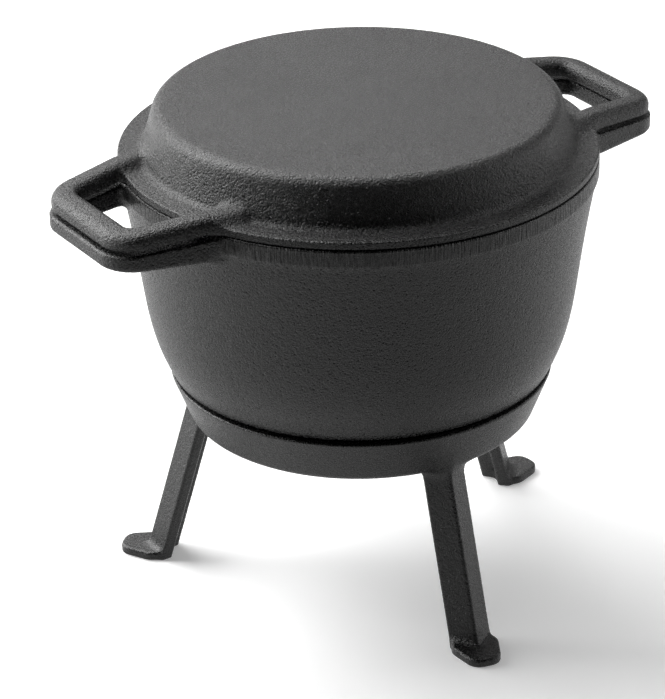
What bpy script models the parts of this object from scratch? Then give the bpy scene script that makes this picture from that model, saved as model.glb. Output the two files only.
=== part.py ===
"""A cast iron cauldron: a pot, a lid that doubles as a frying pan, and a three-legged stand.

Three castings stack on one upright axis. The stand's dish carries the pot on a flat ledge,
and the pot's rim carries the lid, which is a shallow pan turned upside down. Each casting
lifts straight up off the one below. The floor is z = 0 and the axis is x = y = 0. Sizes
are in metres and angles in degrees.
"""
import math

import bmesh
import bpy
from mathutils import Matrix, Vector

# Gaps between castings
SEAT_GAP = 0.0003
SOCKET_CLEARANCE = 0.0012
LIP_CLEARANCE = 0.0015
SHADOW_GAP = 0.0031
HANDLE_GAP = 0.0028

# Stand: a shallow dish with an open middle
STAND_HEIGHT = 0.1260
STAND_RIM_RADIUS = 0.1068
STAND_WALL = 0.0045
STAND_DISH_DEPTH = 0.0272
STAND_WALL_INSET = 0.0106
STAND_LEDGE_THICKNESS = 0.0050
STAND_OPENING_RADIUS = STAND_RIM_RADIUS - 0.0448
STAND_CORNER_RADIUS = 0.0060
STAND_EDGE = 0.0010

# Legs: three angle bars, corner outward, that splay down to flat pads; each has its
# direction and how far its corner leans out on the way down
LEGS = (("right", 53.0, 0.0308), ("left", 182.5, 0.0260), ("front", 304.9, 0.0300))
LEG_ROOT_INSET = 0.0083
LEG_ROOT_RADIUS = STAND_RIM_RADIUS - LEG_ROOT_INSET
LEG_FLANGE_WIDTH = 0.0172
LEG_THICKNESS = 0.0070
LEG_TWIST = -9.0
LEG_CORNER_CHAMFER = 0.0010
LEG_ROOT_FLARE = 0.0045
LEG_ROOT_LENGTH = 0.0100
LEG_RIDGE_RISE = 0.0035
LEG_ROOT_COVER = 0.0008
PAD_THICKNESS = 0.0048
PAD_HEEL_WIDTH = 0.0320
PAD_TOE_WIDTH = 0.0160
PAD_LENGTH = 0.0270
PAD_TOE_REACH = 0.0150
PAD_CORNER_RADIUS = 0.0080
PAD_EDGE = 0.0010

# Pot
POT_TURN = 38.8
POT_HEIGHT = 0.1466
POT_RIM_RADIUS = 0.1310
POT_RIM_WIDTH = 0.0070
POT_MOUTH_RADIUS = POT_RIM_RADIUS - POT_RIM_WIDTH
POT_BAND_HEIGHT = 0.0098
POT_BAND_STEP = 0.0013
POT_WALL = 0.0045
POT_FLOOR = 0.0050
POT_NECK_HANDLE = (0.0123, 0.0633)
POT_BELLY_HANDLE = (0.0153, 0.0297)
POT_SHOULDER_INSET = 0.0004
POT_BASE_CORNER = 0.0120
POT_INNER_CORNER = 0.0140
POT_INNER_STEP = 0.0100
POT_RIM_EDGE = 0.0008

# Lid
LID_RIM_INSET = 0.0002
LID_FLANGE_WIDTH = 0.0129
LID_WALL_INSET = 0.0074
LID_FLANGE_RADIUS = POT_RIM_RADIUS - LID_RIM_INSET
LID_FLANGE_THICKNESS = 0.0046
LID_FOOT_RADIUS = LID_FLANGE_RADIUS - LID_FLANGE_WIDTH
LID_TOP_RADIUS = LID_FOOT_RADIUS - LID_WALL_INSET
LID_RISE = 0.0264
LID_WALL = 0.0045
LID_TOP_CORNER = 0.0065
LID_FOOT_FILLET = 0.0040
LID_CAVITY_CORNER = 0.0080
LID_LIP_DEPTH = 0.0030
LID_LIP_WIDTH = 0.0035
LID_EDGE = 0.0006

# Loop handles, one pair on the lid and one pair right under it on the pot
HANDLE_END_Y = 0.0353
HANDLE_ARM_ANGLE = 12.0
HANDLE_CORNER_RADIUS = 0.0130
HANDLE_BEND_X = POT_RIM_RADIUS - 0.0055
LID_HANDLE_ROOT_X = LID_FOOT_RADIUS - 0.0092
LID_HANDLE_REACH = POT_RIM_RADIUS + 0.0424
LID_HANDLE_WIDTH = 0.0146
LID_HANDLE_ROOT_HEIGHT = 0.0100
LID_HANDLE_TIP_HEIGHT = 0.0090
LID_HANDLE_TOP_ROUND = 0.0045
LID_HANDLE_DROOP = 0.1000
POT_HANDLE_ROOT_X = POT_RIM_RADIUS - 0.0095
POT_HANDLE_REACH = POT_RIM_RADIUS + 0.0440
POT_HANDLE_WIDTH = 0.0134
POT_HANDLE_ROOT_HEIGHT = 0.0134
POT_HANDLE_TIP_HEIGHT = 0.0094
POT_HANDLE_TOP_ROUND = 0.0016
POT_HANDLE_DROOP = 0.0600
HANDLE_UNDER_ROUND = 0.0014

# How finely round shapes are cut
TURN_STEPS = 56
WELD_DISTANCE = 0.00001
CREASE_ANGLE = 35.0
ARC_STEPS = 3
WALL_STEPS = 7
BEND_STEPS = 5

# Levels that follow from the sizes above
LEDGE_Z = STAND_HEIGHT - STAND_DISH_DEPTH + STAND_LEDGE_THICKNESS
POT_BOTTOM_Z = LEDGE_Z + SEAT_GAP
POT_RIM_Z = POT_BOTTOM_Z + POT_HEIGHT
LID_SEAT_Z = POT_RIM_Z + SEAT_GAP
LID_FLANGE_Z = LID_SEAT_Z + LID_FLANGE_THICKNESS
LID_TOP_Z = LID_FLANGE_Z + LID_RISE


def clear_scene():
    """Remove every object that the file opened with."""
    for old in list(bpy.data.objects):
        bpy.data.objects.remove(old, do_unlink=True)


def cast_iron(name, color, roughness):
    """Make a dark seasoned iron material."""
    material = bpy.data.materials.new(name)
    material.use_nodes = True
    shader = material.node_tree.nodes["Principled BSDF"]
    shader.inputs["Base Color"].default_value = (*color, 1.0)
    shader.inputs["Roughness"].default_value = roughness
    shader.inputs["Metallic"].default_value = 0.25
    return material


def rounded(points, steps=ARC_STEPS):
    """Turn each (x, y, radius) corner of a closed outline into an arc."""
    outline = []
    for index, (x, y, radius) in enumerate(points):
        corner = Vector((x, y))
        if radius == 0:
            outline.append(corner)
            continue
        before = (Vector(points[index - 1][:2]) - corner).normalized()
        after = (Vector(points[(index + 1) % len(points)][:2]) - corner).normalized()
        half_angle = before.angle(after) / 2
        centre = corner + (before + after).normalized() * (radius / math.sin(half_angle))
        first = corner + before * (radius / math.tan(half_angle)) - centre
        turn = (corner + after * (radius / math.tan(half_angle)) - centre).angle_signed(first)
        for step in range(steps + 1):
            spun = first.copy()
            spun.rotate(Matrix.Rotation(turn * step / steps, 2))
            outline.append(centre + spun)
    return outline


def bezier(start, start_handle, end_handle, end, steps):
    """Return points and outward normals along a cubic curve that runs down a wall."""
    path = []
    for step in range(steps + 1):
        t = step / steps
        s = 1 - t
        point = (start * s**3 + start_handle * (3 * s * s * t)
                 + end_handle * (3 * s * t * t) + end * t**3)
        slope = ((start_handle - start) * (3 * s * s)
                 + (end_handle - start_handle) * (6 * s * t) + (end - end_handle) * (3 * t * t))
        path.append((point, Vector((-slope.y, slope.x)).normalized()))
    return path


def new_object(name, mesh, material=None):
    """Put a mesh into the scene as a smooth-shaded object with crisp corners."""
    mesh.shade_smooth()
    mesh.set_sharp_from_angle(angle=math.radians(CREASE_ANGLE))
    item = bpy.data.objects.new(name, mesh)
    bpy.context.scene.collection.objects.link(item)
    if material:
        mesh.materials.append(material)
    return item


def turned(name, outline, closed, material):
    """Turn an outline of (radius, height) points about the upright axis."""
    count = len(outline)
    edges = [(i, (i + 1) % count) for i in range(count if closed else count - 1)]
    mesh = bpy.data.meshes.new(name)
    mesh.from_pydata([(p[0], 0, p[1]) for p in outline], edges, [])
    item = new_object(name, mesh, material)
    screw = item.modifiers.new("turn", "SCREW")
    screw.steps = TURN_STEPS
    screw.render_steps = TURN_STEPS
    screw.use_merge_vertices = True
    screw.merge_threshold = WELD_DISTANCE
    return item


def lofted(name, loops, material=None):
    """Skin a list of equal loops of points into one closed solid."""
    sheet = bmesh.new()
    rings = [[sheet.verts.new(point) for point in loop] for loop in loops]
    size = len(rings[0])
    for lower, upper in zip(rings, rings[1:]):
        for i in range(size):
            j = (i + 1) % size
            sheet.faces.new((lower[i], lower[j], upper[j], upper[i]))
    sheet.faces.new(list(reversed(rings[0])))
    sheet.faces.new(rings[-1])
    bmesh.ops.recalc_face_normals(sheet, faces=sheet.faces)
    mesh = bpy.data.meshes.new(name)
    sheet.to_mesh(mesh)
    sheet.free()
    return new_object(name, mesh, material)


def fuse(body, extra):
    """Cast an extra solid onto a body and hide the extra as a construction shape."""
    extra.hide_render = True
    extra.display_type = "WIRE"
    union = body.modifiers.new(extra.name, "BOOLEAN")
    union.operation = "UNION"
    union.solver = "EXACT"
    union.object = extra


def loop_handle(name, shape, azimuth):
    """Sweep a rounded bar out from the wall, across the handle's end and back in."""
    root_x, reach, width, top_z, root_height, tip_height, top_round, slope = shape
    half = width / 2
    bar_x = reach - half
    spread = math.tan(math.radians(HANDLE_ARM_ANGLE))
    bend_y = HANDLE_END_Y + (bar_x - HANDLE_BEND_X) * spread
    root_y = HANDLE_END_Y + (bar_x - root_x) * spread
    plan = rounded([
        (root_x, root_y, 0),
        (HANDLE_BEND_X, bend_y, 0),
        (bar_x, HANDLE_END_Y, HANDLE_CORNER_RADIUS),
        (bar_x, -HANDLE_END_Y, HANDLE_CORNER_RADIUS),
        (HANDLE_BEND_X, -bend_y, 0),
        (root_x, -root_y, 0),
    ], BEND_STEPS)
    loops = []
    for index, point in enumerate(plan):
        ahead = plan[min(index + 1, len(plan) - 1)]
        behind = plan[max(index - 1, 0)]
        along = (ahead - behind).normalized()
        side = Vector((along.y, -along.x))
        share = (point.x - root_x) / (bar_x - root_x)
        height = root_height + (tip_height - root_height) * share
        section = rounded([
            (-half, -height, HANDLE_UNDER_ROUND),
            (half, -height, HANDLE_UNDER_ROUND),
            (half, 0, top_round),
            (-half, 0, top_round),
        ])
        loop = []
        for across, level in section:
            spot = point + side * across
            droop = max(0, spot.x - HANDLE_BEND_X) * slope
            loop.append(Vector((*spot, top_z + level - droop)))
        loops.append(loop)
    turn = Matrix.Rotation(math.radians(azimuth), 4, "Z")
    return lofted(name, [[turn @ point for point in loop] for loop in loops])


def add_handles(body, label, shape):
    """Fuse the two opposite loop handles of a casting to its turned body."""
    for side, azimuth in (("near", POT_TURN + 180), ("far", POT_TURN)):
        fuse(body, loop_handle(f"{label}_{side}", shape, azimuth))


def lid_outline():
    """Return the lid's half section, from the middle of its top round to its underside."""
    top = LID_TOP_Z
    seat = LID_SEAT_Z
    lip_outer = POT_MOUTH_RADIUS - LIP_CLEARANCE
    lip_inner = lip_outer - LID_LIP_WIDTH
    corners = [
        (0, top, 0),
        (LID_TOP_RADIUS, top, LID_TOP_CORNER),
        (LID_FOOT_RADIUS, LID_FLANGE_Z, LID_FOOT_FILLET),
        (LID_FLANGE_RADIUS, LID_FLANGE_Z, LID_EDGE),
        (LID_FLANGE_RADIUS, seat, LID_EDGE),
        (lip_outer, seat, 0),
        (lip_outer, seat - LID_LIP_DEPTH, LID_EDGE),
        (lip_inner, seat - LID_LIP_DEPTH, LID_EDGE),
        (lip_inner, seat, 0),
        (LID_FOOT_RADIUS - LID_WALL, seat, LID_EDGE),
        (LID_TOP_RADIUS - LID_WALL, top - LID_WALL, LID_CAVITY_CORNER),
        (0, top - LID_WALL, 0),
    ]
    return rounded(corners)


def pot_outline():
    """Return the pot's half section, from the inside of its floor over the rim to its base."""
    rim = POT_RIM_Z
    bottom = POT_BOTTOM_Z
    neck = Vector((POT_RIM_RADIUS - POT_BAND_STEP, rim - POT_BAND_HEIGHT - POT_BAND_STEP))
    shoulder = Vector((STAND_RIM_RADIUS - POT_SHOULDER_INSET, STAND_HEIGHT + SHADOW_GAP))
    neck_handle = neck - Vector(POT_NECK_HANDLE)
    belly_handle = shoulder + Vector(POT_BELLY_HANDLE)
    wall = bezier(neck, neck_handle, belly_handle, shoulder, WALL_STEPS)
    socket = socket_radius(STAND_HEIGHT) - SOCKET_CLEARANCE
    base = socket_radius(bottom) - SOCKET_CLEARANCE
    inner_wall = [point - normal * POT_WALL for point, normal in wall]
    inside = rounded([
        (0, bottom + POT_FLOOR, 0),
        (base - POT_WALL, bottom + POT_FLOOR, POT_INNER_CORNER),
        (socket - POT_WALL, shoulder.y, POT_INNER_STEP),
        (*inner_wall[-2], 0),
    ])
    inside = inside[:-1] + list(reversed(inner_wall[:-1]))
    rim_part = rounded([
        (*inner_wall[0], 0),
        (POT_MOUTH_RADIUS, rim - POT_BAND_HEIGHT, 0),
        (POT_MOUTH_RADIUS, rim, POT_RIM_EDGE),
        (POT_RIM_RADIUS, rim, POT_RIM_EDGE),
        (POT_RIM_RADIUS, rim - POT_BAND_HEIGHT, POT_RIM_EDGE),
        (*neck, 0),
    ])
    outside = [point for point, _ in wall[1:]]
    foot = rounded([
        (*shoulder, 0),
        (socket, STAND_HEIGHT + SHADOW_GAP, 0),
        (base, bottom, POT_BASE_CORNER),
        (0, bottom, 0),
    ])
    outline = inside + rim_part[1:] + outside + foot[1:]
    return outline


def socket_radius(z):
    """Return the radius of the dish's inner wall at a height."""
    slope = STAND_WALL_INSET / STAND_DISH_DEPTH
    return STAND_RIM_RADIUS - STAND_WALL - (STAND_HEIGHT - z) * slope


def stand_outline():
    """Return the section of the stand's dish, round its rim, underside and ledge."""
    underside = STAND_HEIGHT - STAND_DISH_DEPTH
    return rounded([
        (STAND_RIM_RADIUS, STAND_HEIGHT, STAND_EDGE),
        (STAND_RIM_RADIUS - STAND_WALL_INSET, underside, STAND_CORNER_RADIUS),
        (STAND_OPENING_RADIUS, underside, STAND_EDGE),
        (STAND_OPENING_RADIUS, LEDGE_Z, STAND_EDGE),
        (socket_radius(LEDGE_Z), LEDGE_Z, STAND_CORNER_RADIUS),
        (socket_radius(STAND_HEIGHT), STAND_HEIGHT, STAND_EDGE),
    ])


def angle_section(width):
    """Return the outline of an angle bar with its corner at the origin, pointing along +X."""
    diagonal = math.sqrt(0.5)
    tip = Vector((-width * diagonal, width * diagonal))
    inward = Vector((-LEG_THICKNESS * diagonal, -LEG_THICKNESS * diagonal))
    blunt = LEG_CORNER_CHAMFER * diagonal
    half = [
        Vector((-blunt, blunt)),
        tip,
        tip + inward,
    ]
    mirrored = [Vector((point.x, -point.y)) for point in reversed(half)]
    inner = Vector((-LEG_THICKNESS / diagonal, 0))
    return half + [inner] + mirrored


def leg_corner(z, foot):
    """Return how far the leg's outer corner stands from the axis at a height."""
    rise = (z - PAD_THICKNESS) / (STAND_HEIGHT - STAND_DISH_DEPTH - PAD_THICKNESS)
    return foot + (LEG_ROOT_RADIUS - foot) * rise


def leg(name, azimuth, foot):
    """Loft one leg from its pad into the dish's underside, its ridge running up the wall."""
    underside = STAND_HEIGHT - STAND_DISH_DEPTH
    root = LEDGE_Z - LEG_ROOT_COVER
    ridge = root + LEG_RIDGE_RISE
    stations = [
        (PAD_THICKNESS / 2, LEG_FLANGE_WIDTH),
        (underside - LEG_ROOT_LENGTH, LEG_FLANGE_WIDTH),
        (underside - LEG_ROOT_LENGTH / 3, LEG_FLANGE_WIDTH + LEG_ROOT_FLARE / 3),
        (root, LEG_FLANGE_WIDTH + LEG_ROOT_FLARE),
    ]
    twist = Matrix.Rotation(math.radians(LEG_TWIST), 4, "Z")
    loops = []
    for z, width in stations:
        place = Matrix.Translation((leg_corner(z, foot), 0, z)) @ twist
        loops.append([place @ Vector((*point, 0)) for point in angle_section(width)])
    lean = leg_corner(ridge, foot) - leg_corner(root, foot)
    for end in (0, -1):
        loops[-1][end] += Vector((lean, 0, ridge - root))
    turn = Matrix.Rotation(math.radians(azimuth), 4, "Z")
    return lofted(name, [[turn @ point for point in loop] for loop in loops])


def pad(name, azimuth, foot):
    """Make one flat foot, a rounded tongue that points away from the axis."""
    toe = PAD_TOE_REACH
    turn = Matrix.Rotation(math.radians(azimuth), 4, "Z")
    place = turn @ Matrix.Translation((foot, 0, 0)) @ Matrix.Rotation(
        math.radians(LEG_TWIST), 4, "Z")
    loops = []
    for z, inset in ((0, 0), (PAD_THICKNESS - PAD_EDGE, 0), (PAD_THICKNESS, PAD_EDGE)):
        heel_half = PAD_HEEL_WIDTH / 2 - inset
        toe_half = PAD_TOE_WIDTH / 2 - inset
        outline = rounded([
            (toe - inset, toe_half, PAD_CORNER_RADIUS - inset),
            (toe - PAD_LENGTH + inset, heel_half, PAD_CORNER_RADIUS - inset),
            (toe - PAD_LENGTH + inset, -heel_half, PAD_CORNER_RADIUS - inset),
            (toe - inset, -toe_half, PAD_CORNER_RADIUS - inset),
        ])
        loops.append([place @ Vector((*point, z)) for point in outline])
    return lofted(name, loops)


def make_stand(material):
    """Build the stand: the dish, its three legs and their pads, in one casting."""
    stand = turned("tripod_stand", stand_outline(), True, material)
    for side, azimuth, lean in LEGS:
        foot = LEG_ROOT_RADIUS + lean
        fuse(stand, leg(f"leg_{side}", azimuth, foot))
        fuse(stand, pad(f"pad_{side}", azimuth, foot))


def make_pot(material):
    """Build the pot with its two loop handles."""
    pot = turned("cauldron_pot", list(reversed(pot_outline())), False, material)
    add_handles(pot, "pot_handle", (
        POT_HANDLE_ROOT_X, POT_HANDLE_REACH, POT_HANDLE_WIDTH, LID_SEAT_Z - HANDLE_GAP,
        POT_HANDLE_ROOT_HEIGHT, POT_HANDLE_TIP_HEIGHT, POT_HANDLE_TOP_ROUND,
        POT_HANDLE_DROOP))


def make_lid(material):
    """Build the lid with its two loop handles."""
    lid = turned("lid_pan", lid_outline(), False, material)
    add_handles(lid, "lid_handle", (
        LID_HANDLE_ROOT_X, LID_HANDLE_REACH, LID_HANDLE_WIDTH,
        LID_SEAT_Z + LID_HANDLE_ROOT_HEIGHT,
        LID_HANDLE_ROOT_HEIGHT, LID_HANDLE_TIP_HEIGHT, LID_HANDLE_TOP_ROUND,
        LID_HANDLE_DROOP))


def main():
    clear_scene()
    make_stand(cast_iron("stand_iron", (0.045, 0.045, 0.047), 0.50))
    make_pot(cast_iron("pot_iron", (0.042, 0.042, 0.044), 0.48))
    make_lid(cast_iron("lid_iron", (0.050, 0.050, 0.052), 0.52))


main()
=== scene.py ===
"""Dress a packed cast iron cauldron with smooth castings, seasoned iron and a white studio.

The stand, the pot and the lid are three castings. Each turned body is a lathe outline, and
each loop handle or leg is skinned from a distance field, so that it runs into its body
with a rounded foundry fillet. All sizes are in metres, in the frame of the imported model.
"""
import math
from itertools import product

import bpy
import numpy as np
from mathutils import Matrix, Quaternion, Vector


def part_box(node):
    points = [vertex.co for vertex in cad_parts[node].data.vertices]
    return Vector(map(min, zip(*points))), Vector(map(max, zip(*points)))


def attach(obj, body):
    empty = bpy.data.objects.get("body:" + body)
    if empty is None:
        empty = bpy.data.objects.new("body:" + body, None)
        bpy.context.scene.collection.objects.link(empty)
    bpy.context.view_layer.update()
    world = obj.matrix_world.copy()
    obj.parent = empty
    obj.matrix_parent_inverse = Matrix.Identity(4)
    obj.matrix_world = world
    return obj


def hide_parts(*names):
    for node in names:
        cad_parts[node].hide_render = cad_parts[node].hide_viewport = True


bl_info = {
    "name": "Cast iron cauldron",
    "version": (1, 0, 0),
    "blender": (4, 5, 0),
    "location": "View3D > Sidebar > Cauldron",
    "description": "Builds the castings, finishes and studio of a three-legged cauldron",
    "category": "Object",
}

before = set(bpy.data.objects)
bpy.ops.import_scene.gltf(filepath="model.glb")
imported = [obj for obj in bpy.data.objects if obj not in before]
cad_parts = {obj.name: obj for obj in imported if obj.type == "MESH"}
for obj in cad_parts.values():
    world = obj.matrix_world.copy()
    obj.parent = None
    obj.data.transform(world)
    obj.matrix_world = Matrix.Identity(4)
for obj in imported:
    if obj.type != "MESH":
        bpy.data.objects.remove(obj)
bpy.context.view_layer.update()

LID_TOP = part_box("lid_pan")[1].z
POT_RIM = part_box("cauldron_pot")[1].z
POT_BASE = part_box("cauldron_pot")[0].z
STAND_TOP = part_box("tripod_stand")[1].z
SEAT_GAP = 0.0003
LID_SEAT = POT_RIM + SEAT_GAP

# Steps of a turned body about its axis, and of a rounded edge
TURN_STEPS = 192
ARC_STEPS = 5
# Large flat faces keep their normals beside small rounded ones, by this weight in percent
FLAT_WEIGHT = 80

# A skin's grid cell, the rounds that settle its vertices on the surface, and the step that
# the field's slope is measured with
SKIN_CELL = 0.0010
SETTLE_ROUNDS = 4
PROBE = 0.00005
# How far a skin's root lies under its casting's face, and reaches past its fillet
SKIN_SINK = 0.00005
SKIN_BORDER = 0.0015
# Spare room in the grids round a handle and a leg
GRID_MARGIN = 0.004
ARM_ROOM = 0.020
DROOP_ROOM = 0.004
LEG_ROOM = 0.006
LEG_GRID_START = 0.062
LEG_GRID_HALF = 0.034
# How far the outline of a hollow reaches past its open side
OPEN_REACH = 0.02

# The pot's wall is a cubic curve: the pulls of its ends at the neck and at the shoulder
NECK_PULL = (0.0123, 0.0633)
SHOULDER_PULL = (0.0153, 0.0297)
# Inside the pot: the corners over its floor and its step, and the wall's slope at the neck
FLOOR_CORNER = 0.014
STEP_CORNER = 0.010
NECK_SLOPE = 0.195
# The pot's handles blend up to the rim's top within the collar, and stay under it outside
RIM_COLLAR = 0.002
RIM_CLEARANCE = 0.001

# Each leg: its direction in degrees, and how far it leans out on the way down
LEGS = (("right", 53.0, 0.0308), ("left", 182.5, 0.0260), ("front", 304.9, 0.0300))
# Edges of the angle leg and its inner corner, edges of the pad, and the leg's top under
# the ledge
LEG_EDGE = 0.0014
LEG_CORNER = 0.0030
PAD_EDGE = 0.0011
LEG_SINK = 0.0008

# The grain: size and share of its coarse noise beside the fine one
COARSE_SCALE = 0.38
COARSE_SHARE = 0.30
# The seasoning: scale of its clouds, share of the specks, and the change in roughness
CLOUD_SCALE = 14.0
SPECK_SHARE = 0.75
ROUGHNESS_SHIFT = (-0.10, 0.12)
# The rim band: stretch of its grinding marks round and up, the radii between which they
# fade out, the depths under the rim where they begin, and the height of the span whose
# edges get a painted highlight with rubbed wear
MARK_STRETCH = (130.0, 60.0, 0.0)
BAND_RADII = (0.1314, 0.1330)
BAND_DEPTHS = (0.0103, 0.0093)
WEAR_AND_HIGHLIGHT_HEIGHT = 0.0120

# The floor that the iron mirrors grows bright between these places along Y
MIRROR_EDGE = (-0.55, -0.28)
# The backdrop that the iron mirrors: the directions along Y where it grows, its strength,
# and the sky's plain light
BACKDROP_EDGE = (-0.10, 0.85)
BACKDROP_GLOW = 0.12
SKY_LIGHT = 0.02
SENSOR_WIDTH = 36.0


def length(name, description, default):
    """Make a length property in metres."""
    return bpy.props.FloatProperty(
        name=name, description=description, default=default, min=0.0, precision=4,
        subtype="DISTANCE", unit="LENGTH")


def turn(name, description, degrees):
    """Make an angle property from a default in degrees."""
    return bpy.props.FloatProperty(
        name=name, description=description, default=math.radians(degrees), precision=2,
        subtype="ANGLE", unit="ROTATION")


def share(name, description, default):
    """Make a property that runs from 0 to 1."""
    return bpy.props.FloatProperty(
        name=name, description=description, default=default, min=0.0, max=1.0, precision=3,
        subtype="FACTOR")


def tint(name, description, default):
    """Make a colour property."""
    return bpy.props.FloatVectorProperty(
        name=name, description=description, default=default, size=3, min=0.0, max=1.0,
        subtype="COLOR")


class LidSizes(bpy.types.PropertyGroup):
    """Sizes of the lid's turned body."""

    flange_radius: length("Flange radius", "Outer radius of the flat flange", 0.1308)
    flange_thickness: length("Flange thickness", "Thickness of the flange at its edge", 0.0046)
    top_radius: length("Top radius", "Radius of the top before its edge is rounded", 0.1105)
    foot_radius: length("Foot radius", "Radius of the wall where it meets the flange", 0.1179)
    wall: length("Wall", "Thickness of the wall and the top", 0.0045)
    top_corner: length("Top edge", "Radius of the rounded top edge", 0.0072)
    foot_fillet: length("Foot fillet", "Radius of the hollow fillet on the flange", 0.0046)
    cavity_corner: length("Cavity corner", "Radius of the corner inside the lid", 0.0080)
    edge: length("Edge", "Radius of the flange's upper edge", 0.0010)
    under_edge: length("Under edge", "Radius of the flange's lower edge", 0.0014)
    lip_radius: length("Lip radius", "Outer radius of the locating lip", 0.1225)
    lip_width: length("Lip width", "Width of the locating lip", 0.0035)
    lip_depth: length("Lip depth", "How far the lip reaches into the pot", 0.0030)


class PotSizes(bpy.types.PropertyGroup):
    """Sizes of the pot's turned body."""

    rim_radius: length("Rim radius", "Outer radius of the rim band", 0.1310)
    mouth_radius: length("Mouth radius", "Inner radius of the rim", 0.1240)
    band_height: length("Band height", "Height of the plain rim band", 0.0098)
    band_step: length("Band step", "How far the wall steps in under the band", 0.0013)
    rim_edge: length("Rim edge", "Radius of the rim's outer edge", 0.0013)
    band_edge: length("Band edge", "Radius of the band's lower edge", 0.0028)
    wall: length("Wall", "Thickness of the wall", 0.0045)
    floor: length("Floor", "Thickness of the floor", 0.0050)
    shoulder_radius: length("Shoulder radius", "Radius just above the stand", 0.1064)
    shadow_gap: length("Shadow gap", "Height of the gap over the stand's rim", 0.0031)
    socket_clearance: length("Socket clearance", "Gap between base and dish", 0.0012)
    base_corner: length("Base corner", "Radius of the base's lower corner", 0.0120)
    edge: length("Edge", "Radius of the rim's edges", 0.0008)


class StandSizes(bpy.types.PropertyGroup):
    """Sizes of the stand's dish, legs and foot pads."""

    rim_radius: length("Rim radius", "Outer radius of the dish at its rim", 0.1068)
    wall: length("Wall", "Thickness of the dish's wall", 0.0045)
    dish_depth: length("Dish depth", "Height of the dish", 0.0272)
    wall_inset: length("Wall inset", "How far the wall slopes in over its height", 0.0106)
    ledge_thickness: length("Ledge thickness", "Thickness of the ledge", 0.0050)
    opening_radius: length("Opening radius", "Radius of the fire opening", 0.0620)
    corner: length("Corner", "Radius of the dish's lower corner", 0.0060)
    edge: length("Edge", "Radius of the rim's edges", 0.0010)
    root_radius: length("Root radius", "Radius of the legs' corner under the dish", 0.0985)
    flange_width: length("Leg face width", "Width of each face of the angle leg", 0.0176)
    leg_thickness: length("Leg thickness", "Thickness of the angle leg", 0.0072)
    leg_twist: turn("Leg twist", "Turn of each leg about its own corner", -9.0)
    pad_thickness: length("Pad thickness", "Thickness of the foot pads", 0.0048)
    pad_heel: length("Pad heel", "Width of a foot pad at its heel", 0.0320)
    pad_toe: length("Pad toe", "Width of a foot pad at its toe", 0.0160)
    pad_length: length("Pad length", "Length of a foot pad", 0.0270)
    pad_reach: length("Pad reach", "How far a pad reaches past its leg's corner", 0.0150)
    pad_corner: length("Pad corner", "Radius of a foot pad's corners", 0.0080)
    root_fillet: length("Root fillet", "Blend between a leg and the dish", 0.0085)
    foot_fillet: length("Foot fillet", "Blend between a leg and its pad", 0.0042)


class LidHandle(bpy.types.PropertyGroup):
    """Sizes of the lid's loop handles, in the handle's own direction."""

    root_x: length("Root", "Where the arms start, from the axis", 0.1064)
    reach: length("Reach", "Outer face of the end bar, from the axis", 0.17325)
    width: length("Width", "Width of the bar", 0.0146)
    lift: length("Lift", "Top of the arms' roots over the lid's seat", 0.0100)
    root_height: length("Root height", "Height of the bar at its root", 0.0100)
    tip_height: length("Tip height", "Height of the bar at its end", 0.0090)
    droop: share("Droop", "Slope of the handle past its bend", 0.10)
    top_round: length("Top round", "Radius of the bar's upper edges", 0.0056)
    under_round: length("Under round", "Radius of the bar's lower edges", 0.0014)
    fillet: length("Fillet", "Blend between the bar and the lid", 0.0056)


class PotHandle(bpy.types.PropertyGroup):
    """Sizes of the pot's loop handles, in the handle's own direction."""

    root_x: length("Root", "Where the arms start, from the axis", 0.1210)
    reach: length("Reach", "Outer face of the end bar, from the axis", 0.17475)
    width: length("Width", "Width of the bar", 0.0134)
    drop: length("Drop", "Top of the arms' roots under the lid's seat", 0.0028)
    root_height: length("Root height", "Height of the bar at its root", 0.0134)
    tip_height: length("Tip height", "Height of the bar at its end", 0.0094)
    droop: share("Droop", "Slope of the handle past its bend", 0.06)
    top_round: length("Top round", "Radius of the bar's upper edges", 0.0012)
    under_round: length("Under round", "Radius of the bar's lower edges", 0.0034)
    fillet: length("Fillet", "Blend between the bar and the pot", 0.0060)


class HandlePlan(bpy.types.PropertyGroup):
    """The plan that both pairs of handles share."""

    azimuth: turn("Azimuth", "Direction of the handles from X", 38.8)
    end_y: length("End bar half length", "Half the distance between the arms' ends", 0.0353)
    arm_angle: turn("Arm angle", "How far the arms spread towards their roots", 12.0)
    corner: length("Corner", "Radius of the bar's centre line in the corners", 0.0130)
    bend_x: length("Bend", "Where the handles start to droop", 0.1255)


class IronFinish(bpy.types.PropertyGroup):
    """Colours and grain of the seasoned iron."""

    color: tint("Iron", "Colour of the seasoned iron", (0.0035, 0.0035, 0.0037))
    worn: tint("Worn iron", "Colour of the dry, lighter patches", (0.032, 0.0317, 0.0313))
    roughness: share("Roughness", "Roughness of the seasoned skin", 0.28)
    grain: length("Grain", "Size of the pebbled grain", 0.0010)
    depth: length("Grain depth", "Height of the pebbled grain", 0.0011)
    specular: share("Specular", "Strength of the mirror part, seen head on", 0.56)
    # This light colour is also the painted highlight along the rim band's edges, beside rubbed
    # wear
    bare_and_highlight: tint("Bare iron", "Colour of the iron where an edge has rubbed", (0.16, 0.158, 0.155))


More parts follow.
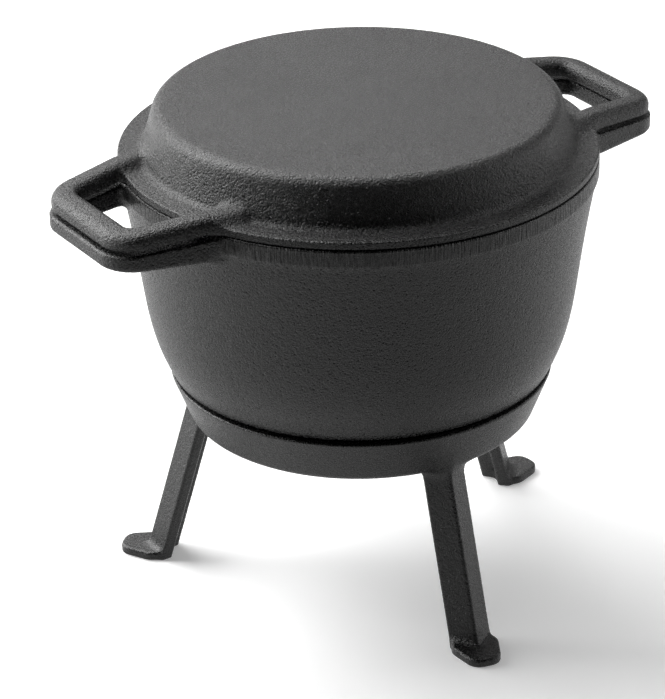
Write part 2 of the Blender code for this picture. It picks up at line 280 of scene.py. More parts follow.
class StudioSizes(bpy.types.PropertyGroup):
    """The camera, the floor and the lamps."""

    place: bpy.props.FloatVectorProperty(
        name="Camera place", description="Where the camera stands",
        default=(0.19264, -1.74300, 0.99606), size=3, precision=5, subtype="XYZ", unit="LENGTH")
    aim: bpy.props.FloatVectorProperty(
        name="Camera aim", description="The point in the middle of the picture",
        default=(-0.01540, -0.00550, 0.13255), size=3, precision=5, subtype="XYZ", unit="LENGTH")
    roll: turn("Camera roll", "Turn of the camera about its own axis", -1.025)
    lens: bpy.props.FloatProperty(
        name="Lens", description="Focal length on a 36 mm frame", default=180.26, min=1.0,
        subtype="DISTANCE_CAMERA", unit="CAMERA")
    lamp_distance: length("Lamp distance", "How far the softboxes stand from the object", 1.9)
    lamp_level: length("Lamp level", "Height of the point that the softboxes face", 0.15)
    floor_color: tint("Floor", "Colour of the studio floor", (0.92, 0.92, 0.92))
    bounce_color: tint("Bounce", "Colour of the floor's light on the iron", (0.34, 0.34, 0.34))
    floor_glow: share("Floor glow", "Light that the camera sees in the floor", 0.28)
    mirror_glow: share("Mirrored glow", "Light that the iron sees in the near floor", 0.40)
    floor_radius: length("Floor radius", "Radius of the studio floor", 6.0)


def arcs(points, steps=ARC_STEPS):
    """Turn each (x, y, radius) corner of a closed outline into an arc."""
    outline = []
    for index, (x, y, radius) in enumerate(points):
        corner = Vector((x, y))
        if radius == 0:
            outline.append((x, y))
            continue
        before = (Vector(points[index - 1][:2]) - corner).normalized()
        after = (Vector(points[(index + 1) % len(points)][:2]) - corner).normalized()
        half = before.angle(after) / 2
        centre = corner + (before + after).normalized() * (radius / math.sin(half))
        first = corner + before * (radius / math.tan(half)) - centre
        sweep = (corner + after * (radius / math.tan(half)) - centre).angle_signed(first)
        for step in range(steps + 1):
            spoke = first.copy()
            spoke.rotate(Matrix.Rotation(sweep * step / steps, 2))
            outline.append(tuple(centre + spoke))
    return outline


def split_runs(outline, longest=0.006):
    """Add points along the straight runs of an outline."""
    points = []
    for start, end in zip(outline, outline[1:] + outline[:1]):
        count = max(1, math.ceil(math.dist(start, end) / longest))
        points += [tuple(np.add(start, np.subtract(end, start) * i / count))
                   for i in range(count)]
    return points


def curve_down(start, start_pull, end_pull, end, steps=24):
    """Return points and outward normals of a wall's cubic curve, from top to bottom."""
    path = []
    for step in range(steps + 1):
        t = step / steps
        s = 1 - t
        point = start * s**3 + start_pull * (3*s*s*t) + end_pull * (3*s*t*t) + end * t**3
        slope = ((start_pull - start) * (3*s*s) + (end_pull - start_pull) * (6*s*t)
                 + (end - end_pull) * (3*t*t))
        path.append((point, Vector((-slope.y, slope.x)).normalized()))
    return path


def run_square(x, y, start, end):
    """Return the squared distance from points to one straight run."""
    (ax, ay), (bx, by) = start, end
    ex, ey = bx - ax, by - ay
    along = np.clip(((x - ax) * ex + (y - ay) * ey) / (ex * ex + ey * ey), 0, 1)
    return (x - ax - ex * along)**2 + (y - ay - ey * along)**2


def path_distance(x, y, path):
    """Return the distance from points to an open line in plan."""
    nearest = np.full(np.shape(x), np.inf)
    for start, end in zip(path, path[1:]):
        nearest = np.minimum(nearest, run_square(x, y, start, end))
    return np.sqrt(nearest)


def outline_distance(x, y, outline):
    """Return the signed distance from points to a closed outline, negative inside."""
    inside = np.zeros(np.shape(x), bool)
    for (ax, ay), (bx, by) in zip(outline, outline[1:] + outline[:1]):
        if ay != by:
            inside ^= ((ay > y) != (by > y)) & (x < ax + (y - ay) * (bx - ax) / (by - ay))
    return np.where(inside, -1, 1) * path_distance(x, y, outline + outline[:1])


def melt(a, b, size):
    """Join two distance fields with a rounded fillet."""
    overlap = np.maximum(size - np.abs(a - b), 0) / size
    return np.minimum(a, b) - overlap * overlap * size / 4


def fill_checkers(inside):
    """Fill the grid faces whose corners alternate, where a skin would touch itself."""
    size = -1
    while size != inside.sum():
        size = inside.sum()
        for first, second in ((0, 1), (1, 2), (2, 0)):
            ahead, beside = np.roll(inside, -1, first), np.roll(inside, -1, second)
            across = np.roll(ahead, -1, second)
            rising = inside & across & ~ahead & ~beside
            falling = ahead & beside & ~inside & ~across
            inside = inside | falling | np.roll(rising, 1, first)
    return inside


def skin(field, low, high):
    """Mesh the zero level of a distance field, with one vertex in each crossed cell."""
    low = np.array(low, float)
    counts = np.ceil((np.array(high) - low) / SKIN_CELL).astype(int)
    grid = np.stack(np.meshgrid(*(np.arange(n + 1) for n in counts), indexing="ij"), -1)
    inside = fill_checkers(field(low + grid * SKIN_CELL) < 0)
    if inside.sum() != inside[1:-1, 1:-1, 1:-1].sum():
        raise ValueError("the skin touches the side of its grid")
    filled = sum(inside[tuple(slice(o, o + n) for o, n in zip(offset, counts))].astype(np.int8)
                 for offset in product((0, 1), repeat=3))
    crossed = (filled > 0) & (filled < 8)
    number = np.full(crossed.shape, -1)
    number[crossed] = np.arange(crossed.sum())
    points = low + (np.argwhere(crossed) + 0.5) * SKIN_CELL
    for _ in range(SETTLE_ROUNDS):
        value = field(points)
        slope = np.stack([field(points + step) - value for step in np.eye(3) * PROBE], -1) / PROBE
        reach = np.sum(slope * slope, -1) + 1e-9
        points = points - slope * np.clip(value / reach, -SKIN_CELL, SKIN_CELL)[:, None]
    faces = []
    for axis in range(3):
        near = np.take(inside, np.arange(counts[axis]), axis)
        far = np.take(inside, np.arange(1, counts[axis] + 1), axis)
        spots = np.argwhere(near != far)
        first = np.eye(3, dtype=int)[(axis + 1) % 3]
        second = np.eye(3, dtype=int)[(axis + 2) % 3]
        quads = np.stack([number[tuple((spots - shift).T)]
                          for shift in (first + second, second, 0 * first, first)], -1)
        outward = near[tuple(spots.T)]
        faces += [quads[outward], quads[~outward][:, ::-1]]
    return points, np.concatenate(faces)


def new_piece(name, points, faces, material, body, node, slot):
    """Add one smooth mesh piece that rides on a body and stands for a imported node."""
    mesh = bpy.data.meshes.new(name)
    mesh.from_pydata([tuple(p) for p in points], [], [tuple(f) for f in faces])
    mesh.shade_smooth()
    mesh.materials.append(material)
    piece = bpy.data.objects.new(name, mesh)
    bpy.context.scene.collection.objects.link(piece)
    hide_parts(node)
    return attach(piece, body)


def lathe_outline(outline):
    """Drop repeated points of a closed outline, and points that only join the axis to itself."""
    apart = [point for before, point in zip(outline[-1:] + outline, outline)
             if math.dist(before, point) > 1e-6]
    return [point for before, point, after in zip(apart[-1:] + apart, apart, apart[1:] + apart[:1])
            if before[0] or point[0] or after[0]]


def turned(outline):
    """Turn a closed outline of (radius, height) points about the axis, into points and faces."""
    angles = np.arange(TURN_STEPS) * math.tau / TURN_STEPS
    points, rings = [], []
    for radius, height in outline:
        if radius == 0:
            rings.append([len(points)] * TURN_STEPS)
            points.append((0, 0, height))
        else:
            rings.append(list(range(len(points), len(points) + TURN_STEPS)))
            points += [(radius * math.cos(a), radius * math.sin(a), height) for a in angles]
    faces = []
    for upper, lower in zip(rings, rings[1:] + rings[:1]):
        for here, there in zip(range(TURN_STEPS), (*range(1, TURN_STEPS), 0)):
            corners = list(dict.fromkeys((upper[here], lower[here], lower[there], upper[there])))
            if len(corners) > 2:
                faces.append(corners)
    return points, faces


def turned_piece(name, outline, material, body, node, slot):
    """Add a lathe-turned piece, with its flat faces kept flat beside its rounded edges."""
    points, faces = turned(lathe_outline(split_runs(outline)))
    piece = new_piece(name, points, faces, material, body, node, slot)
    flat = piece.modifiers.new("flat_faces", "WEIGHTED_NORMAL")
    flat.weight = FLAT_WEIGHT
    return piece


def spun(points, angle):
    """Turn points about the upright axis."""
    c, s = math.cos(angle), math.sin(angle)
    x, y, z = np.moveaxis(np.asarray(points), -1, 0)
    return np.stack([c * x - s * y, s * x + c * y, z], -1)


def bar_path(handle, plan):
    """Return the centre line of a loop handle in plan."""
    bar_x = handle.reach - handle.width / 2
    root_y = plan.end_y + (bar_x - handle.root_x) * math.tan(plan.arm_angle)
    corners = [(handle.root_x, root_y, 0), (bar_x, plan.end_y, plan.corner),
               (bar_x, -plan.end_y, plan.corner), (handle.root_x, -root_y, 0)]
    return arcs(corners, 8)


def bar_field(handle, plan, top):
    """Return the distance field of a loop handle's bar."""
    path = bar_path(handle, plan)
    half = handle.width / 2
    section = arcs([(-half, -handle.root_height, handle.under_round),
                    (half, -handle.root_height, handle.under_round),
                    (half, 0, handle.top_round), (-half, 0, handle.top_round)], 6)
    bar_x = handle.reach - half

    def field(points):
        x, y, z = np.moveaxis(points, -1, 0)
        along = np.clip((x - handle.root_x) / (bar_x - handle.root_x), 0, 1.2)
        height = handle.root_height + (handle.tip_height - handle.root_height) * along
        level = z - top + np.maximum(0, x - plan.bend_x) * handle.droop
        scale = handle.root_height / height
        return outline_distance(path_distance(x, y, path), level * scale, section)

    return field


def handle_pieces(label, handle, plan, top, body_outline, keep, material, body, node, slot):
    """Skin one loop handle with its fillets, and place it on both sides of its casting."""
    bar = bar_field(handle, plan, top)
    border = handle.fillet + SKIN_BORDER

    def field(points):
        x, y, z = np.moveaxis(points, -1, 0)
        near = bar(points)
        casting = outline_distance(np.hypot(x, y), z, body_outline) + SKIN_SINK
        joined = melt(casting, near, handle.fillet)
        return np.maximum(np.maximum(joined, near - border), keep(x, y, z))

    half_y = plan.end_y + handle.width + ARM_ROOM
    low = (handle.root_x - handle.width / 2 - border - GRID_MARGIN, -half_y,
           top - handle.root_height - border - GRID_MARGIN - DROOP_ROOM)
    high = (handle.reach + border + GRID_MARGIN, half_y, top + border + GRID_MARGIN)
    points, faces = skin(field, low, high)
    for side, angle in (("right", plan.azimuth), ("left", plan.azimuth + math.pi)):
        new_piece(f"{label}_{side}", spun(points, angle), faces, material, body, node, slot)


def lid_outline(lid):
    """Return the lid's closed section: outside, flange, locating lip and cavity."""
    flange = LID_SEAT + lid.flange_thickness
    lip_inner = lid.lip_radius - lid.lip_width
    return arcs([
        (0, LID_TOP, 0),
        (lid.top_radius, LID_TOP, lid.top_corner),
        (lid.foot_radius, flange, lid.foot_fillet),
        (lid.flange_radius, flange, lid.edge),
        (lid.flange_radius, LID_SEAT, lid.under_edge),
        (lid.lip_radius, LID_SEAT, 0),
        (lid.lip_radius, LID_SEAT - lid.lip_depth, lid.edge),
        (lip_inner, LID_SEAT - lid.lip_depth, lid.edge),
        (lip_inner, LID_SEAT, 0),
        (lid.foot_radius - lid.wall, LID_SEAT, lid.edge),
        (lid.top_radius - lid.wall, LID_TOP - lid.wall, lid.cavity_corner),
        (0, LID_TOP - lid.wall, 0),
    ], 7)


def socket_radius(stand, z):
    """Return the radius of the dish's inner wall at a height."""
    return stand.rim_radius - stand.wall - (STAND_TOP - z) * stand.wall_inset / stand.dish_depth


def pot_outline(pot, stand):
    """Return the pot's closed section, from its floor over the rim to its base."""
    neck = Vector((pot.rim_radius - pot.band_step, POT_RIM - pot.band_height - pot.band_step))
    shoulder = Vector((pot.shoulder_radius, STAND_TOP + pot.shadow_gap))
    wall = curve_down(neck, neck - Vector(NECK_PULL), shoulder + Vector(SHOULDER_PULL), shoulder)
    socket = socket_radius(stand, STAND_TOP) - pot.socket_clearance
    base = socket_radius(stand, POT_BASE) - pot.socket_clearance
    inner = [tuple(point - normal * pot.wall) for point, normal in wall]
    inside = arcs([
        (0, POT_BASE + pot.floor, 0),
        (base - pot.wall, POT_BASE + pot.floor, FLOOR_CORNER),
        (socket - pot.wall, shoulder.y, STEP_CORNER),
        (*inner[-3], 0),
    ], 8)[:-1] + inner[-3::-1]
    rim = arcs([
        (*inner[0], 0),
        (pot.mouth_radius, POT_RIM - pot.band_height, 0),
        (pot.mouth_radius, POT_RIM, pot.edge),
        (pot.rim_radius, POT_RIM, pot.rim_edge),
        (pot.rim_radius, POT_RIM - pot.band_height, pot.band_edge),
        (*neck, 0),
    ])[1:]
    outside = [tuple(point) for point, _ in wall[1:]]
    foot = arcs([
        (*shoulder, 0), (socket, shoulder.y, 0), (base, POT_BASE, pot.base_corner),
        (0, POT_BASE, 0),
    ], 8)[1:]
    return inside + rim + outside + foot


def stand_outline(stand):
    """Return the dish's closed section."""
    underside = STAND_TOP - stand.dish_depth
    ledge = underside + stand.ledge_thickness
    return arcs([
        (stand.rim_radius, STAND_TOP, stand.edge),
        (stand.rim_radius - stand.wall_inset, underside, stand.corner),
        (stand.opening_radius, underside, stand.edge),
        (stand.opening_radius, ledge, stand.edge),
        (socket_radius(stand, ledge), ledge, stand.corner),
        (socket_radius(stand, STAND_TOP), STAND_TOP, stand.edge),
    ], 7)


def leg_field(stand, foot, dish, socket):
    """Return the distance field of one leg along +X, with its pad and its fillets."""
    underside = STAND_TOP - stand.dish_depth
    rise = underside - stand.pad_thickness
    lean = (stand.root_radius - foot) / rise
    width, thick = stand.flange_width, stand.leg_thickness
    d = math.sqrt(0.5)
    section = arcs([
        (0, 0, LEG_EDGE),
        (-width * d, width * d, LEG_EDGE),
        (-(width + thick) * d, (width - thick) * d, LEG_EDGE),
        (-thick / d, 0, LEG_CORNER),
        (-(width + thick) * d, -(width - thick) * d, LEG_EDGE),
        (-width * d, -width * d, LEG_EDGE),
    ], 4)
    toe = stand.pad_reach
    pad = arcs([
        (toe, stand.pad_toe / 2, stand.pad_corner),
        (toe - stand.pad_length, stand.pad_heel / 2, stand.pad_corner),
        (toe - stand.pad_length, -stand.pad_heel / 2, stand.pad_corner),
        (toe, -stand.pad_toe / 2, stand.pad_corner),
    ], 6)
    top = underside + stand.ledge_thickness - LEG_SINK
    c, s = math.cos(stand.leg_twist), math.sin(stand.leg_twist)

    def beside_corner(x, y, outline):
        """Return the distance to an outline that is turned about the leg's corner."""
        return outline_distance(c * x + s * y, c * y - s * x, outline)

    def field(points):
        x, y, z = np.moveaxis(points, -1, 0)
        corner = foot + (z - stand.pad_thickness) * lean
        angle = np.maximum(beside_corner(x - corner, y, section), z - top)
        beside = beside_corner(x - foot, y, pad) + PAD_EDGE
        above = z - stand.pad_thickness + PAD_EDGE
        tongue = (np.hypot(np.maximum(beside, 0), np.maximum(above, 0))
                  + np.minimum(np.maximum(beside, above), 0) - PAD_EDGE)
        ring = outline_distance(np.hypot(x, y), z, dish) + SKIN_SINK
        cast = melt(melt(tongue, angle, stand.foot_fillet), ring, stand.root_fillet)
        near = np.minimum(angle, tongue) - stand.root_fillet - SKIN_BORDER
        hollow = -outline_distance(np.hypot(x, y), z, socket) + SKIN_SINK
        return np.maximum.reduce([cast, near, hollow, -z])

    return field


def new_group(name, inputs, outputs):
    """Start a shader node group with named sockets."""
    group = bpy.data.node_groups.new(name, "ShaderNodeTree")
    for label, kind, default in inputs:
        socket = group.interface.new_socket(label, in_out="INPUT", socket_type=kind)
        if default is not None:
            socket.default_value = default
    for label, kind in outputs:
        group.interface.new_socket(label, in_out="OUTPUT", socket_type=kind)
    return group, group.nodes.new("NodeGroupInput"), group.nodes.new("NodeGroupOutput")


def add(tree, kind, inputs=(), **settings):
    """Add a node, set its options and feed its sockets from values or other sockets."""
    node = tree.nodes.new(kind)
    for key, value in settings.items():
        setattr(node, key, value)
    for key, value in dict(inputs).items():
        if isinstance(value, bpy.types.NodeSocket):
            tree.links.new(value, node.inputs[key])
        else:
            node.inputs[key].default_value = value
    return node


def ramp(tree, source, stops):
    """Add a colour ramp of (position, grey) stops and return its colour."""
    node = add(tree, "ShaderNodeValToRGB", {"Fac": source})
    while len(node.color_ramp.elements) < len(stops):
        node.color_ramp.elements.new(0.5)
    for element, (position, grey) in zip(node.color_ramp.elements, stops):
        element.position = position
        element.color = (grey, grey, grey, 1)
    return node.outputs["Color"]


def grain_group():
    """Pebbled skin that a sand mould leaves: a height, and a speckle for the colour."""
    group, start, end = new_group("Sand cast grain", [
        ("Vector", "NodeSocketVector", None),
        ("Scale", "NodeSocketFloat", 900.0),
        ("Pits", "NodeSocketFloat", 0.35),
    ], [("Height", "NodeSocketFloat"), ("Speckle", "NodeSocketFloat")])
    vector, scale = start.outputs["Vector"], start.outputs["Scale"]
    pebbles = add(group, "ShaderNodeTexNoise", {
        "Vector": vector, "Scale": scale, "Detail": 3.0, "Roughness": 0.6})
    coarse_scale = add(group, "ShaderNodeMath", {0: scale, 1: COARSE_SCALE}, operation="MULTIPLY")
    coarse = add(group, "ShaderNodeTexNoise", {
        "Vector": vector, "Scale": coarse_scale.outputs[0], "Detail": 2.0, "Roughness": 0.5})
    cells = add(group, "ShaderNodeTexVoronoi", {
        "Vector": vector, "Scale": coarse_scale.outputs[0]}, feature="F1")
    pits = ramp(group, cells.outputs["Distance"], [(0.0, 0.0), (0.32, 1.0)])
    fine = add(group, "ShaderNodeMix", {
        "Factor": COARSE_SHARE, "A": pebbles.outputs["Fac"], "B": coarse.outputs["Fac"]},
        data_type="FLOAT")
    pitted = add(group, "ShaderNodeMix", {
        "Factor": start.outputs["Pits"], "A": fine.outputs["Result"], "B": pits},
        data_type="FLOAT")
    group.links.new(pitted.outputs["Result"], end.inputs["Height"])
    group.links.new(pebbles.outputs["Fac"], end.inputs["Speckle"])
    return group


def seasoning_group():
    """Baked oil skin: soft patches of colour and roughness over the whole casting."""
    group, start, end = new_group("Baked seasoning", [
        ("Vector", "NodeSocketVector", None),
        ("Color", "NodeSocketColor", (0.02, 0.02, 0.02, 1)),
        ("Worn", "NodeSocketColor", (0.05, 0.05, 0.05, 1)),
        ("Speckle", "NodeSocketFloat", 0.5),
        ("Roughness", "NodeSocketFloat", 0.46),
    ], [("Color", "NodeSocketColor"), ("Roughness", "NodeSocketFloat")])
    vector = start.outputs["Vector"]
    clouds = add(group, "ShaderNodeTexNoise", {
        "Vector": vector, "Scale": CLOUD_SCALE, "Detail": 4.0, "Roughness": 0.55})
    patches = ramp(group, clouds.outputs["Fac"], [(0.35, 0.0), (0.75, 1.0)])
    specks = ramp(group, start.outputs["Speckle"], [(0.45, 0.0), (0.60, 1.0)])
    both = add(group, "ShaderNodeMix", {"Factor": SPECK_SHARE, "A": patches, "B": specks},
               data_type="FLOAT")
    color = add(group, "ShaderNodeMix", {
        "Factor": both.outputs["Result"], "A": start.outputs["Color"],
        "B": start.outputs["Worn"]}, data_type="RGBA")
    shift = add(group, "ShaderNodeMapRange", {
        "Value": both.outputs["Result"], "From Min": 0.0, "From Max": 1.0,
        "To Min": ROUGHNESS_SHIFT[0], "To Max": ROUGHNESS_SHIFT[1]})
    rough = add(group, "ShaderNodeMath", {0: start.outputs["Roughness"], 1: shift.outputs[0]},
                operation="ADD")
    group.links.new(color.outputs["Result"], end.inputs["Color"])
    group.links.new(rough.outputs[0], end.inputs["Roughness"])
    return group


def iron(name, finish, grain, seasoning, scale, depth, pits, tone=1.0, rim_band=None):
    """Make one casting's seasoned iron from the shared grain and seasoning."""
    material = bpy.data.materials.new(name)
    material.use_nodes = True
    tree = material.node_tree
    shader = tree.nodes["Principled BSDF"]
    place = add(tree, "ShaderNodeTexCoord").outputs["Object"]
    skin_node = add(tree, "ShaderNodeGroup", node_tree=grain)
    tree.links.new(place, skin_node.inputs["Vector"])
    skin_node.inputs["Scale"].default_value = scale / finish.grain
    skin_node.inputs["Pits"].default_value = pits
    season = add(tree, "ShaderNodeGroup", node_tree=seasoning)
    tree.links.new(place, season.inputs["Vector"])
    tree.links.new(skin_node.outputs["Speckle"], season.inputs["Speckle"])
    season.inputs["Color"].default_value = (*(c * tone for c in finish.color), 1)
    season.inputs["Worn"].default_value = (*(c * tone for c in finish.worn), 1)
    season.inputs["Roughness"].default_value = finish.roughness
    height, color = skin_node.outputs["Height"], season.outputs["Color"]
    if rim_band:
        # The rim band's edges get a painted highlight with rubbed wear in their colour
        height, wear_and_painted_highlight = rim_band(tree, place, height)
        color = add(tree, "ShaderNodeMix", {
            "Factor": wear_and_painted_highlight, "A": color, "B": (*finish.bare_and_highlight, 1)},
            data_type="RGBA").outputs["Result"]
    bump = add(tree, "ShaderNodeBump", {
        "Height": height, "Strength": 1.0, "Distance": finish.depth * depth})
    tree.links.new(color, shader.inputs["Base Color"])
    tree.links.new(season.outputs["Roughness"], shader.inputs["Roughness"])
    tree.links.new(bump.outputs["Normal"], shader.inputs["Normal"])
    shader.inputs["Specular IOR Level"].default_value = finish.specular
    return material


def machined_band(tree, place, height):
    """Add upright grinding marks to the rim band's grain; paint a highlight with wear on its
    edges.
    """
    parts = add(tree, "ShaderNodeSeparateXYZ", {0: place})
    angle = add(tree, "ShaderNodeMath", {0: parts.outputs["Y"], 1: parts.outputs["X"]},
                operation="ARCTAN2")
    around = add(tree, "ShaderNodeCombineXYZ", {"X": angle.outputs[0], "Y": parts.outputs["Z"]})
    stretch = add(tree, "ShaderNodeVectorMath", {0: around.outputs[0], 1: MARK_STRETCH},
                  operation="MULTIPLY")
    marks = add(tree, "ShaderNodeTexNoise", {
        "Vector": stretch.outputs[0], "Scale": 1.0, "Detail": 2.0, "Roughness": 0.6})
    flat = add(tree, "ShaderNodeCombineXYZ", {"X": parts.outputs["X"], "Y": parts.outputs["Y"]})
    radius = add(tree, "ShaderNodeVectorMath", {0: flat.outputs[0]}, operation="LENGTH")
    inside = add(tree, "ShaderNodeMapRange", {
        "Value": radius.outputs["Value"], "From Min": BAND_RADII[0],
        "From Max": BAND_RADII[1], "To Min": 1.0, "To Max": 0.0})
    low = add(tree, "ShaderNodeMapRange", {
        "Value": parts.outputs["Z"], "From Min": POT_RIM - BAND_DEPTHS[0],
        "From Max": POT_RIM - BAND_DEPTHS[1]})
    band = add(tree, "ShaderNodeMath", {0: low.outputs[0], 1: inside.outputs[0]},
               operation="MULTIPLY")
    height = add(tree, "ShaderNodeMix", {
        "Factor": band.outputs[0], "A": height, "B": marks.outputs["Fac"]},
        data_type="FLOAT").outputs["Result"]
    # Painted highlight with rubbed wear: light lines along the band's lower edge and the rim's
    # outer edge, broken up by the marks' noise
    edges = add(tree, "ShaderNodeMapRange", {
        "Value": parts.outputs["Z"], "From Min": POT_RIM - WEAR_AND_HIGHLIGHT_HEIGHT,
        "From Max": POT_RIM, "To Min": 0.0, "To Max": 1.0})
    line = ramp(tree, edges.outputs[0], [(0.0, 0.0), (0.10, 0.30), (0.17, 0.0), (0.82, 0.0),
                                         (0.88, 1.0), (0.95, 0.6)])
    chips = ramp(tree, marks.outputs["Fac"], [(0.50, 0.05), (0.62, 1.0)])
    wear_and_painted_highlight = add(tree, "ShaderNodeMix", {"Factor": line, "A": 0.0, "B": chips},
                 data_type="FLOAT").outputs["Result"]
    return height, wear_and_painted_highlight


class CAULDRON_OT_finishes(bpy.types.Operator):
    """Make the seasoned iron of the three castings"""

    bl_idname = "cauldron.finishes"
    bl_label = "Make finishes"

    def execute(self, context):
        finish = context.scene.cauldron_iron
        grain, seasoning = grain_group(), seasoning_group()
        iron("lid_iron_cast", finish, grain, seasoning,
             scale=1.0, depth=1.5, pits=0.25, tone=1.1)
        iron("pot_iron_cast", finish, grain, seasoning,
             scale=1.0, depth=1.3, pits=0.30, rim_band=machined_band)
        iron("stand_iron_cast", finish, grain, seasoning, scale=1.1, depth=0.9, pits=0.20)
        return {"FINISHED"}


class CAULDRON_OT_lid(bpy.types.Operator):
    """Cast the lid with its two loop handles"""

    bl_idname = "cauldron.lid"
    bl_label = "Cast lid"

    def execute(self, context):
        scene = context.scene
        lid, handle, plan = scene.cauldron_lid, scene.cauldron_lid_handle, scene.cauldron_plan
        material = bpy.data.materials["lid_iron_cast"]
        owner = ("lid", "lid_pan", "lid_iron")
        outline = lid_outline(lid)
        turned_piece("lid_body", outline, material, *owner)
        ceiling, inner_foot = LID_TOP - lid.wall, lid.foot_radius - lid.wall
        cavity = [(0, LID_SEAT - OPEN_REACH), (0, ceiling), (lid.top_radius - lid.wall, ceiling),
                  (inner_foot, LID_SEAT), (inner_foot, LID_SEAT - OPEN_REACH)]

        def keep(x, y, z):
            """Keep the handle off the pot's handle under it and out of the lid's cavity."""
            floor = LID_SEAT - np.maximum(0, x - plan.bend_x) * handle.droop - z
            return np.maximum(floor, SKIN_SINK - outline_distance(np.hypot(x, y), z, cavity))

        handle_pieces("lid_handle", handle, plan, LID_SEAT + handle.lift, outline, keep,
                      material, *owner)
        return {"FINISHED"}


class CAULDRON_OT_pot(bpy.types.Operator):
    """Cast the pot with its two loop handles"""

    bl_idname = "cauldron.pot"
    bl_label = "Cast pot"

    def execute(self, context):
        scene = context.scene
        pot, handle, plan = scene.cauldron_pot, scene.cauldron_pot_handle, scene.cauldron_plan
        material = bpy.data.materials["pot_iron_cast"]
        owner = ("pot", "cauldron_pot", "pot_iron")
        outline = pot_outline(pot, scene.cauldron_stand)
        turned_piece("pot_body", outline, material, *owner)

        def keep(x, y, z):
            """Keep the handle out of the pot's cavity and under the lid."""
            radius = np.hypot(x, y)
            wall = pot.rim_radius - pot.wall - pot.band_step
            inner = np.where(z > POT_RIM - pot.band_height, pot.mouth_radius,
                             wall - (POT_RIM - pot.band_height - z) * NECK_SLOPE)
            roof = z - np.where(radius < pot.rim_radius + RIM_COLLAR, POT_RIM,
                                POT_RIM - RIM_CLEARANCE)
            return np.maximum(inner + SKIN_SINK - radius, roof)

        handle_pieces("pot_handle", handle, plan, LID_SEAT - handle.drop, outline, keep,
                      material, *owner)
        return {"FINISHED"}


class CAULDRON_OT_stand(bpy.types.Operator):
    """Cast the stand: the dish with three angle legs on foot pads"""

    bl_idname = "cauldron.stand"
    bl_label = "Cast stand"

    def execute(self, context):
        stand = context.scene.cauldron_stand
        material = bpy.data.materials["stand_iron_cast"]
        owner = ("stand", "tripod_stand", "stand_iron")
        dish = stand_outline(stand)
        turned_piece("stand_dish", dish, material, *owner)
        ledge = STAND_TOP - stand.dish_depth + stand.ledge_thickness
        over = STAND_TOP + OPEN_REACH
        socket = [(0, ledge), (socket_radius(stand, ledge), ledge),
                  (socket_radius(stand, over), over), (0, over)]
        for side, azimuth, lean in LEGS:
            foot = stand.root_radius + lean
            field = leg_field(stand, foot, dish, socket)
            low = (LEG_GRID_START, -LEG_GRID_HALF, -GRID_MARGIN / 2)
            high = (foot + stand.pad_reach + LEG_ROOM, LEG_GRID_HALF, STAND_TOP + GRID_MARGIN)
            points, faces = skin(field, low, high)
            new_piece(f"leg_{side}", spun(points, math.radians(azimuth)), faces, material, *owner)
        return {"FINISHED"}


class CAULDRON_OT_stage(bpy.types.Operator):
    """Set up the white floor, the soft lamps and the camera"""

    bl_idname = "cauldron.stage"
    bl_label = "Set up studio"

    def execute(self, context):
        scene = context.scene
        studio = scene.cauldron_studio
        r = studio.floor_radius
        mesh = bpy.data.meshes.new("studio_floor")
        mesh.from_pydata([(-r, -r, 0), (r, -r, 0), (r, r, 0), (-r, r, 0)], [], [(0, 1, 2, 3)])
        floor = bpy.data.objects.new("studio_floor", mesh)
        scene.collection.objects.link(floor)
        mesh.materials.append(floor_material(studio))
        world_light(scene)
        for box in SOFTBOXES:
            softbox(studio, *box)
        camera = bpy.data.objects.new("camera", bpy.data.cameras.new("camera"))
        scene.collection.objects.link(camera)
        camera.data.lens = studio.lens
        camera.data.sensor_width = SENSOR_WIDTH
        camera.data.clip_end = 50.0
        look = Vector(studio.aim) - Vector(studio.place)
        camera.rotation_mode = "QUATERNION"
        camera.rotation_quaternion = (look.to_track_quat("-Z", "Y")
                                      @ Quaternion((0, 0, 1), studio.roll))
        camera.location = studio.place
        scene.camera = camera
        scene.view_settings.view_transform = "Standard"
        return {"FINISHED"}


# Each softbox: name, azimuth and elevation in degrees, width and height in metres, watts
SOFTBOXES = (
    ("softbox_left", 150, 44, 2.1, 1.2, 59.0),
    ("softbox_low_left", 160, 12, 1.6, 0.7, 26.0),
    ("softbox_back", 92, 28, 1.1, 1.2, 4.0),
    ("softbox_low_right", 24, 12, 1.6, 0.8, 7.8),
    ("softbox_top", 75, 76, 0.8, 0.8, 9.0),
)


def softbox(studio, name, azimuth, elevation, width, height, power):
    """Add one large lamp that faces the object and stays out of the picture."""
    data = bpy.data.lights.new(name, "AREA")
    data.shape = "RECTANGLE"
    data.size, data.size_y = width, height
    data.energy = power
    lamp = bpy.data.objects.new(name, data)
    a, e = math.radians(azimuth), math.radians(elevation)
    way = Vector((math.cos(e) * math.cos(a), math.cos(e) * math.sin(a), math.sin(e)))
    lamp.location = Vector((0, 0, studio.lamp_level)) + way * studio.lamp_distance
    lamp.rotation_euler = (-way).to_track_quat("-Z", "Y").to_euler()
    lamp.visible_camera = False
    bpy.context.scene.collection.objects.link(lamp)


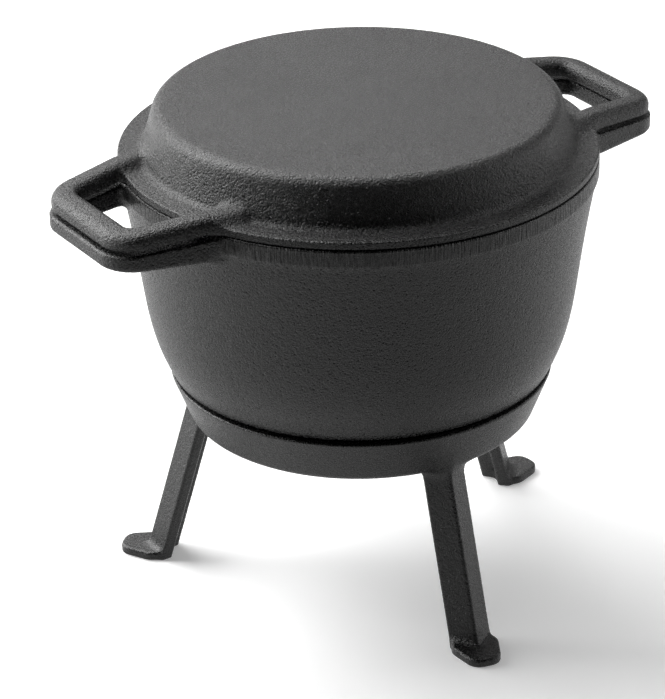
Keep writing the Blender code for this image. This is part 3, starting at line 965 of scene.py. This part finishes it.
def floor_material(studio):
    """Make the pale floor, which glows a little for the camera and keeps the shadow."""
    material = bpy.data.materials.new("studio_floor")
    material.use_nodes = True
    tree = material.node_tree
    shader = tree.nodes["Principled BSDF"]
    shader.inputs["Roughness"].default_value = 1.0
    shader.inputs["Specular IOR Level"].default_value = 0.0
    rays = add(tree, "ShaderNodeLightPath")
    color = add(tree, "ShaderNodeMix", {
        "Factor": rays.outputs["Is Camera Ray"], "A": (*studio.bounce_color, 1),
        "B": (*studio.floor_color, 1)}, data_type="RGBA")
    tree.links.new(color.outputs["Result"], shader.inputs["Base Color"])
    place = add(tree, "ShaderNodeSeparateXYZ", {
        0: add(tree, "ShaderNodeTexCoord").outputs["Object"]})
    near = add(tree, "ShaderNodeMapRange", {
        "Value": place.outputs["Y"], "From Min": MIRROR_EDGE[0], "From Max": MIRROR_EDGE[1],
        "To Min": 0.0, "To Max": studio.mirror_glow}, interpolation_type="SMOOTHSTEP")
    mirrored = add(tree, "ShaderNodeMath", {0: rays.outputs["Is Glossy Ray"],
                                            1: near.outputs[0]}, operation="MULTIPLY")
    glow = add(tree, "ShaderNodeMix", {
        "Factor": rays.outputs["Is Camera Ray"], "A": mirrored.outputs[0],
        "B": studio.floor_glow}, data_type="FLOAT")
    shader.inputs["Emission Color"].default_value = (1, 1, 1, 1)
    tree.links.new(glow.outputs["Result"], shader.inputs["Emission Strength"])
    return material


def world_light(scene):
    """Make a sky that looks white to the camera, and is a white backdrop to reflections."""
    world = bpy.data.worlds.new("studio")
    world.use_nodes = True
    scene.world = world
    tree = world.node_tree
    rays = add(tree, "ShaderNodeLightPath")
    way = add(tree, "ShaderNodeSeparateXYZ", {
        0: add(tree, "ShaderNodeTexCoord").outputs["Generated"]})
    behind = add(tree, "ShaderNodeMapRange", {
        "Value": way.outputs["Y"], "From Min": BACKDROP_EDGE[0], "From Max": BACKDROP_EDGE[1],
        "To Min": 0.0, "To Max": BACKDROP_GLOW}, interpolation_type="SMOOTHSTEP")
    mirrored = add(tree, "ShaderNodeMath", {
        0: rays.outputs["Is Glossy Ray"], 1: rays.outputs["Is Transmission Ray"]},
        operation="MAXIMUM")
    soft = add(tree, "ShaderNodeMix", {
        "Factor": mirrored.outputs[0], "A": SKY_LIGHT, "B": behind.outputs[0]},
        data_type="FLOAT")
    strength = add(tree, "ShaderNodeMix", {
        "Factor": rays.outputs["Is Camera Ray"], "A": soft.outputs["Result"], "B": 1.0},
        data_type="FLOAT")
    background = tree.nodes["Background"]
    background.inputs["Color"].default_value = (1, 1, 1, 1)
    tree.links.new(strength.outputs["Result"], background.inputs["Strength"])


class CAULDRON_PT_panel(bpy.types.Panel):
    """List the castings and the studio in the sidebar."""

    bl_idname = "CAULDRON_PT_panel"
    bl_label = "Cauldron"
    bl_space_type = "VIEW_3D"
    bl_region_type = "UI"
    bl_category = "Cauldron"

    def draw(self, context):
        for operator in OPERATORS:
            self.layout.operator(operator.bl_idname)


SETTINGS = {
    "cauldron_lid": LidSizes, "cauldron_pot": PotSizes, "cauldron_stand": StandSizes,
    "cauldron_lid_handle": LidHandle, "cauldron_pot_handle": PotHandle,
    "cauldron_plan": HandlePlan, "cauldron_iron": IronFinish, "cauldron_studio": StudioSizes,
}
OPERATORS = (CAULDRON_OT_finishes, CAULDRON_OT_stand, CAULDRON_OT_pot, CAULDRON_OT_lid,
             CAULDRON_OT_stage)


def register():
    """Register the settings, the operators and the panel."""
    for name, group in SETTINGS.items():
        bpy.utils.register_class(group)
        setattr(bpy.types.Scene, name, bpy.props.PointerProperty(type=group))
    for item in (*OPERATORS, CAULDRON_PT_panel):
        bpy.utils.register_class(item)


def unregister():
    """Take everything out again, in the opposite order."""
    for item in reversed((*OPERATORS, CAULDRON_PT_panel)):
        bpy.utils.unregister_class(item)
    for name, group in reversed(SETTINGS.items()):
        delattr(bpy.types.Scene, name)
        bpy.utils.unregister_class(group)


def main():
    """Build every piece and the studio."""
    register()
    bpy.ops.cauldron.finishes()
    bpy.ops.cauldron.stand()
    bpy.ops.cauldron.pot()
    bpy.ops.cauldron.lid()
    bpy.ops.cauldron.stage()


if __name__ == "__main__":
    main()
